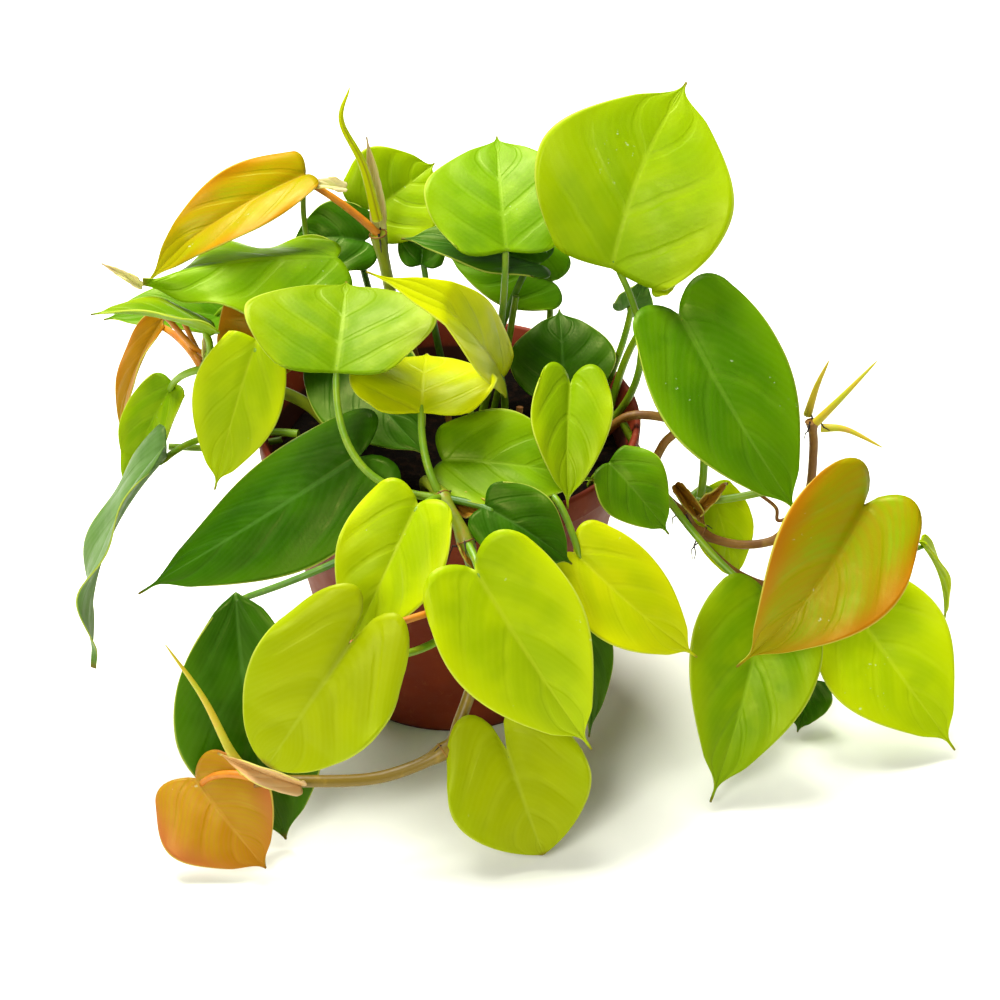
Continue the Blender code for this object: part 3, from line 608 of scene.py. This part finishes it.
unders = {
    name: leaf_skin("leaf_underside_" + name, colours[1], colours[0], *colours[2:5], rough=0.5)
    for name, colours in SKINS.items()}
green_stalk = stem_skin("green_leaf_stalk", "#729006", "#5E8406", "#84900E")
dark_stalk = stem_skin("dark_leaf_stalk", "#486E04", "#3A6004", "#5C7A0A")
red_stalk = stem_skin("red_leaf_stalk", "#B47010", "#A45A0C", "#B88A20")
green_stem = stem_skin("green_stem", "#7E8A14", "#6E7A10", "#8C7018", low="#6E5808")
brown_stem = stem_skin("woody_brown_stem", "#7A5208", "#6A4006", "#8E6C20", rough=0.55)
pink_sheath = stem_skin("pink_young_sheath", "#B09A18", "#A0A010", "#C07C40", rough=0.5)
black_root = stem_skin("black_air_root", "#1C130C", "#2A1A10", "#3A2818", rough=0.8)

# Young red leaves have red stalks and dark ones dark stalks; all others are green
STALK_SKINS = {
    "bronze": red_stalk, "golden": red_stalk, "amber": red_stalk, "rust": red_stalk,
    "deep_green": dark_stalk,
}
TWIG_SKINS = {"green": green_stalk, "brown": brown_stem, "red": red_stalk}


# Leaves

def smooth(low, high, value):
    """The value's smooth rise from 0 at low to 1 at high."""
    share = min(max((value - low) / (high - low), 0.0), 1.0)
    return share * share * (3.0 - 2.0 * share)


def half_width(leaf, v):
    """How wide the blade is at v along its middle, as a share of its widest, drawn in to a drip tip."""
    if v < leaf.widest:
        narrowing = min(max(0.45 - 1.8 * leaf.lobe, 0.15), 0.85)
        return 1.0 - narrowing * ((leaf.widest - v) / leaf.widest) ** 2
    x = (v - leaf.widest) / (1.0 - leaf.widest)
    body = max(math.cos(math.pi / 2 * x), 0.0) ** (0.85 + 0.35 * leaf.point)
    return max(body * (1.0 - min(max(leaf.point, 0.0), 1.0) * smooth(0.72, 0.98, x)), 0.012)


def leaf_frame(leaf):
    """The joint, the three directions of the blade, and its length."""
    joint = Vector(leaf.joint)
    along = Vector(leaf.tip) - joint
    length = along.length
    along.normalize()
    face = Vector(leaf.face)
    face -= along * face.dot(along)
    face.normalize()
    side = along.cross(face)
    return joint, along, side, face, length


def leaf_relief(leaf, u, v, seed):
    """The pillows between the sunken veins, the groove of the midrib and the loose edge, in mm."""
    across = abs(u)
    phase = math.tau * VEIN_PAIRS * (v - VEIN_LEAN * across ** VEIN_BEND)
    pillow = -QUILTING * math.cos(phase) * across * (1.0 - across ** 3) * 2.0 * math.sin(math.pi * v) ** 0.5
    groove = -MIDRIB_GROOVE * math.exp(-(u / 0.09) ** 2) * (1.0 - v)
    ripple = math.sin(math.tau * (1.7 * v + seed) + (2.0 if u > 0 else 0.0))
    edge = EDGE_RIPPLE * across ** 4 * ripple * (1.0 - v)
    return pillow + groove + edge


def leaf_point(leaf, u, v, seed):
    """A point of the blade's middle surface: u from -1 to 1 across, v from 0 at the joint to 1 at the tip."""
    joint, along, side, face, length = leaf_frame(leaf)
    across = abs(u)
    rounded = across + (math.sin(math.pi / 2 * across) - across) * 0.8 * (1.0 - v) ** 4
    reach = leaf.width / 2 * rounded * half_width(leaf, v)
    cleft = math.sin(math.pi * across ** (0.95 - 1.1 * leaf.lobe)) if leaf.lobe > 0 else across
    lobe = leaf.width * leaf.lobe * 1.1 * cleft * (1.0 - v) ** 3
    lift = reach * math.sin(math.radians(leaf.fold))
    lift += leaf.arch * 4 * v * (1.0 - v)
    lift += leaf.wave * across ** 2 * math.sin(4 * math.pi * v + (1.0 if u > 0 else 0.0))
    lift -= leaf.hook * max(v - 0.7, 0.0) / 0.3
    lift += leaf_relief(leaf, u, v, seed)
    out = math.copysign(reach * math.cos(math.radians(leaf.fold)), u)
    out += (seed - 0.5) * SIDEWAYS_SWAY * length * math.sin(math.pi * v)
    return joint + along * (v * length - lobe) + side * out + face * lift


def stalk_end(leaf):
    """Where the stalk ends: at its root, or at the vine's joint that it grows from."""
    if isinstance(leaf.base[0], str):
        name, number = leaf.base
        vine = next(item for item in VINES if item.name == name)
        return Vector(vine.points[number][0])
    return Vector(leaf.base)


def make_blade_master():
    """A flat blade with its own UV map, from which every leaf is bent."""
    bpy.ops.mesh.primitive_grid_add(x_subdivisions=BLADE_COLUMNS, y_subdivisions=BLADE_ROWS, size=2.0)
    return named(bpy.context.object, "blade_master")


def make_blade(master, leaf, seed):
    """A copy of the flat blade, bent to this leaf's shape and thickened, with a skin for its underside."""
    blade = master.copy()
    blade.data = master.data.copy()
    bpy.context.scene.collection.objects.link(blade)
    named(blade, leaf.name)
    for vertex in blade.data.vertices:
        u = vertex.co.x
        v = 1.0 - ((1.0 - vertex.co.y) / 2) ** ROW_CROWDING
        vertex.co = leaf_point(leaf, u, v, seed) * METRE
    blade.data.materials.append(skins[leaf.skin])
    blade.data.materials.append(unders[leaf.skin])
    apply_modifier(blade, "SOLIDIFY", thickness=BLADE_THICKNESS * METRE, offset=0.0,
                   material_offset=1, material_offset_rim=0)
    choose(blade)
    bpy.ops.object.shade_smooth()
    return blade


def make_leaf(master, leaf, number):
    """Blade and stalk in one piece. The stalk starts a little way along the blade from its joint."""
    seed = (number * SEED_STEP) % 1.0
    blade = make_blade(master, leaf, seed)
    length = (Vector(leaf.tip) - Vector(leaf.joint)).length
    start = leaf_point(leaf, 0.0, STALK_START / length, seed)
    points = bezier(start, Vector(leaf.bow), stalk_end(leaf), STALK_STEPS)
    radii = [STALK_RADIUS * (STALK_TOP_SHARE + STALK_GROWTH * k) for k in range(len(points))]
    radii[0] *= 0.5
    stalk = tube("stalk", points, radii, STALK_SKINS.get(leaf.skin, green_stalk))
    return finished(join([blade, stalk], leaf.name + "_fine"), SLOTS[leaf.name], leaf.name)


master = make_blade_master()
for number, leaf in enumerate(LEAVES):
    make_leaf(master, leaf, number)
for leaf in SCRAPS:
    finished(make_blade(master, leaf, SCRAP_SEED), "sheath")
bpy.data.objects.remove(master)


# Stems

def node_scar(place, along, radius, material):
    """The raised ring that a fallen sheath leaves around a joint."""
    turn = along.to_track_quat("Z", "Y").to_euler()
    bpy.ops.mesh.primitive_torus_add(
        major_segments=20, minor_segments=6,
        major_radius=radius * METRE, minor_radius=SCAR_THICKNESS * METRE,
        location=place * METRE, rotation=turn)
    ring = bpy.context.object
    bpy.ops.object.transform_apply(location=True, rotation=True)
    ring.data.materials.append(material)
    bpy.ops.object.shade_smooth()
    return ring


def air_roots(place, along, chance):
    """A few short, dark, curling roots at a joint."""
    roots = []
    for k in range(AIR_ROOTS_AT_A_NODE):
        spread = Vector([chance.uniform(-1, 1) for _ in "xyz"])
        spread = (spread - along * spread.dot(along)).normalized()
        path = [place + spread * (1.5 + 1.1 * t) + along * math.sin(t * 1.7 + k) * 0.9
                + Vector((0, 0, -0.25 * t * t)) for t in range(len(AIR_ROOT_RADII))]
        path = [Vector((p.x, p.y, max(p.z, 0.5))) for p in path]
        roots.append(tube("air_root", path, AIR_ROOT_RADII, black_root, 1))
    return roots


def make_vine(vine):
    """A running stem that swells at its joints, with a ring scar and a few air roots at each."""
    points = FINE_ROUTES.get(vine.name, vine.points)
    path = smooth_path([place for place, joint in points], PATH_STEPS)
    nodes = [k * PATH_STEPS for k, (place, joint) in enumerate(points) if joint]
    stem_radius = VINE_RADIUS * (FINE_ROUTE_SHARE if vine.name in FINE_ROUTES else 1.0)
    radii = []
    for k in range(len(path)):
        near = min(abs(k - n) for n in nodes)
        radii.append(stem_radius * (1.0 + (NODE_SWELL - 1.0) * math.exp(-(near / NODE_SPREAD) ** 2)))
    skin = green_stem if vine.finish == "stem_green" else brown_stem
    pieces = [tube(vine.name, path, radii, skin, 4)]
    chance = random.Random(len(path))
    for n in nodes:
        along = (path[min(n + 1, len(path) - 1)] - path[n - 1]).normalized()
        pieces.append(node_scar(path[n], along, stem_radius * SCAR_REACH, brown_stem))
        pieces += air_roots(path[n], along, chance)
    return finished(join(pieces, vine.name + "_fine"), SLOTS[vine.name], vine.name)


def make_twig(twig):
    path = smooth_path(twig.points, PATH_STEPS)
    item = tube(twig.name, path, [twig.radius] * len(path), TWIG_SKINS[twig.skin])
    return finished(item, "stem_green")


def make_spike(spike):
    """A tightly rolled young leaf, thick at its base and drawn to a point."""
    path = smooth_path(spike.points, PATH_STEPS)
    count = len(path) - 1
    radii = [spike.radius * (1.0 - k / count) ** 0.7 + SPIKE_TIP_RADIUS for k in range(count + 1)]
    skin = skins["yellow_lime"] if spike.finish == "yellow_lime" else pink_sheath
    item = tube(spike.name + "_fine", path, radii, skin, 4)
    return finished(item, SLOTS[spike.name], spike.name)


for twig in TWIGS:
    make_twig(twig)
for vine in VINES:
    make_vine(vine)
for spike in SPIKES:
    make_spike(spike)


# Pot and soil

def wall_radius(height):
    """Outer radius of the pot's tapered wall below its rim."""
    return BASE_RADIUS + (RIM_RADIUS - RIM_LIP - BASE_RADIUS) * height / POT_HEIGHT


def turned(name, profile, segments, material):
    """A closed body of rings drawn out through a profile of (radius, height) in mm, as on a wheel."""
    radius, height = profile[0]
    bpy.ops.mesh.primitive_circle_add(vertices=segments, radius=radius * METRE)
    item = bpy.context.object
    bpy.ops.object.mode_set(mode="EDIT")
    bpy.ops.mesh.select_all(action="SELECT")
    bpy.ops.transform.translate(value=(0, 0, height * METRE))
    for next_radius, next_height in profile[1:]:
        bpy.ops.mesh.extrude_region_move()
        bpy.ops.transform.translate(value=(0, 0, (next_height - height) * METRE))
        scale = next_radius / radius
        bpy.ops.transform.resize(value=(scale, scale, 1.0), center_override=(0, 0, next_height * METRE))
        radius, height = next_radius, next_height
    bpy.ops.mesh.select_all(action="SELECT")
    bpy.ops.mesh.fill_holes(sides=0)
    bpy.ops.mesh.normals_make_consistent(inside=False)
    bpy.ops.object.mode_set(mode="OBJECT")
    item.data.materials.append(material)
    return named(item, name)


def make_pot():
    """A thin turned wall with a stepped foot, a rolled rim and a ring of drain holes."""
    under_lip = POT_HEIGHT - RIM_HEIGHT
    floor = WALL * 1.5
    profile = [
        (HUB_RADIUS, 0.3),
        (BASE_RADIUS - FOOT_STEP - 4.0, 0.3),
        (BASE_RADIUS - FOOT_STEP - 3.4, 0.0),
        (BASE_RADIUS - FOOT_STEP - 0.4, 0.0),
        (BASE_RADIUS - FOOT_STEP, 0.4),
        (wall_radius(FOOT_HEIGHT) - FOOT_STEP, FOOT_HEIGHT - 0.5),
        (wall_radius(FOOT_HEIGHT) - 0.2, FOOT_HEIGHT),
        (wall_radius(FOOT_HEIGHT) + 0.05, FOOT_HEIGHT + 0.4),
        (wall_radius(under_lip) - 0.1, under_lip - 0.6),
        (wall_radius(under_lip) + 0.4, under_lip),
        (RIM_RADIUS - 1.2, under_lip),
        (RIM_RADIUS - 0.7, under_lip + 0.2),
        (RIM_RADIUS - 0.5, under_lip + 0.7),
        (RIM_RADIUS, POT_HEIGHT - 1.2),
        (RIM_RADIUS - 0.15, POT_HEIGHT - 0.5),
        (RIM_RADIUS - 0.6, POT_HEIGHT - 0.08),
        (RIM_RADIUS - 1.1, POT_HEIGHT),
        (RIM_RADIUS - RIM_LIP + 0.3, POT_HEIGHT - 0.1),
        (RIM_RADIUS - RIM_LIP - 0.1, POT_HEIGHT - 0.6),
        (wall_radius(under_lip) - WALL + 0.6, under_lip + 1.0),
        (wall_radius(under_lip) - WALL, under_lip),
        (wall_radius(floor) - WALL - 0.2, floor + 1.2),
        (wall_radius(floor) - WALL - 1.2, floor),
        (HUB_RADIUS, floor),
    ]
    pot = turned("pot_fine", profile, POT_SEGMENTS, moulded_pot_plastic())
    for k in range(DRAIN_HOLES):
        turn = math.tau * k / DRAIN_HOLES
        bpy.ops.mesh.primitive_cylinder_add(
            vertices=24, radius=DRAIN_RADIUS * METRE, depth=DRAIN_DRILL * METRE,
            location=(DRAIN_RING * METRE * math.cos(turn), DRAIN_RING * METRE * math.sin(turn), 0.0))
        drill = bpy.context.object
        apply_modifier(pot, "BOOLEAN", operation="DIFFERENCE", object=drill, solver="EXACT")
        bpy.data.objects.remove(drill)
    choose(pot)
    bpy.ops.object.shade_smooth_by_angle(angle=math.radians(50))
    return finished(pot, "pot", "pot")


def make_soil():
    """A plug of peat whose top lies in small crumbs and hollows."""
    edge = wall_radius(SOIL_TOP) - WALL - SOIL_GAP
    profile = [
        (HUB_RADIUS, SOIL_FLOOR),
        (wall_radius(SOIL_FLOOR) - WALL - 1.6, SOIL_FLOOR),
        (edge - 0.4, SOIL_TOP - 1.0),
    ]
    profile += [((edge - 1.2) * (1.0 - k / SOIL_RINGS) + 0.6, SOIL_TOP) for k in range(SOIL_RINGS + 1)]
    soil = turned("soil_fine", profile, SOIL_SEGMENTS, damp_peat())
    for vertex in soil.data.vertices:
        place = vertex.co / METRE
        if place.z > SOIL_TOP - 0.5:
            lump = noise.noise(place * 0.2) * 1.3 + noise.noise(place * 0.55) * 0.8
            vertex.co.z += (lump - 0.5) * METRE
    choose(soil)
    bpy.ops.object.shade_smooth()
    return finished(soil, "soil", "soil")


make_pot()
make_soil()


# Studio, in metres

FLOOR_SIZE = 6.0
FLOOR_COLOUR = (0.93, 0.94, 0.80, 1.0)
ROOM_COLOUR = (1.0, 1.0, 1.0, 1.0)
ROOM_STRENGTH = 0.27
LAMP_AIM = Vector((0.02, 0.0, 0.09))
Lamp = namedtuple("Lamp", "name place size watts")
LAMPS = [
    Lamp("overhead_softbox", (-0.3, 0.42, 1.35), 0.8, 52.0),
    Lamp("front_fill", (-0.5, -1.3, 1.1), 0.55, 21.0),
]
CAMERA_TARGET = Vector((0.016, 0.0, 0.064))
CAMERA_DISTANCE = 0.85
CAMERA_ELEVATION = 34.5
CAMERA_LENS = 95.8
CAMERA_SENSOR = 36.0


def make_floor():
    """A broad pale matt floor."""
    bpy.ops.mesh.primitive_plane_add(size=FLOOR_SIZE, location=(0, 0, 0))
    floor = named(bpy.context.object, "studio_floor")
    material, tree = new_material("pale_studio_floor")
    paint = add(tree, "ShaderNodeBsdfPrincipled", {"Base Color": FLOOR_COLOUR, "Roughness": 0.8})
    add(tree, "ShaderNodeOutputMaterial", {"Surface": paint.outputs[0]})
    floor.data.materials.append(material)


def make_lights():
    """A soft white room, with each lamp turned to the plant."""
    world = bpy.data.worlds.new("soft_white_room")
    world.use_nodes = True
    room = world.node_tree.nodes["Background"]
    room.inputs["Color"].default_value = ROOM_COLOUR
    room.inputs["Strength"].default_value = ROOM_STRENGTH
    bpy.context.scene.world = world
    for lamp in LAMPS:
        data = bpy.data.lights.new(lamp.name, "AREA")
        data.size = lamp.size
        data.energy = lamp.watts
        item = bpy.data.objects.new(lamp.name, data)
        item.location = lamp.place
        item.rotation_euler = (LAMP_AIM - Vector(lamp.place)).to_track_quat("-Z", "Y").to_euler()
        bpy.context.scene.collection.objects.link(item)


def make_camera():
    """A long lens from the front, looking down on the plant."""
    tilt = math.radians(CAMERA_ELEVATION)
    data = bpy.data.cameras.new("studio_camera")
    data.lens = CAMERA_LENS
    data.sensor_width = CAMERA_SENSOR
    data.clip_start = 0.05
    camera = bpy.data.objects.new("studio_camera", data)
    camera.location = CAMERA_TARGET + Vector((0.0, -math.cos(tilt), math.sin(tilt))) * CAMERA_DISTANCE
    camera.rotation_euler = (math.pi / 2 - tilt, 0.0, 0.0)
    bpy.context.scene.collection.objects.link(camera)
    bpy.context.scene.camera = camera


make_floor()
make_lights()
make_camera()
bpy.context.scene.view_settings.view_transform = "Standard"
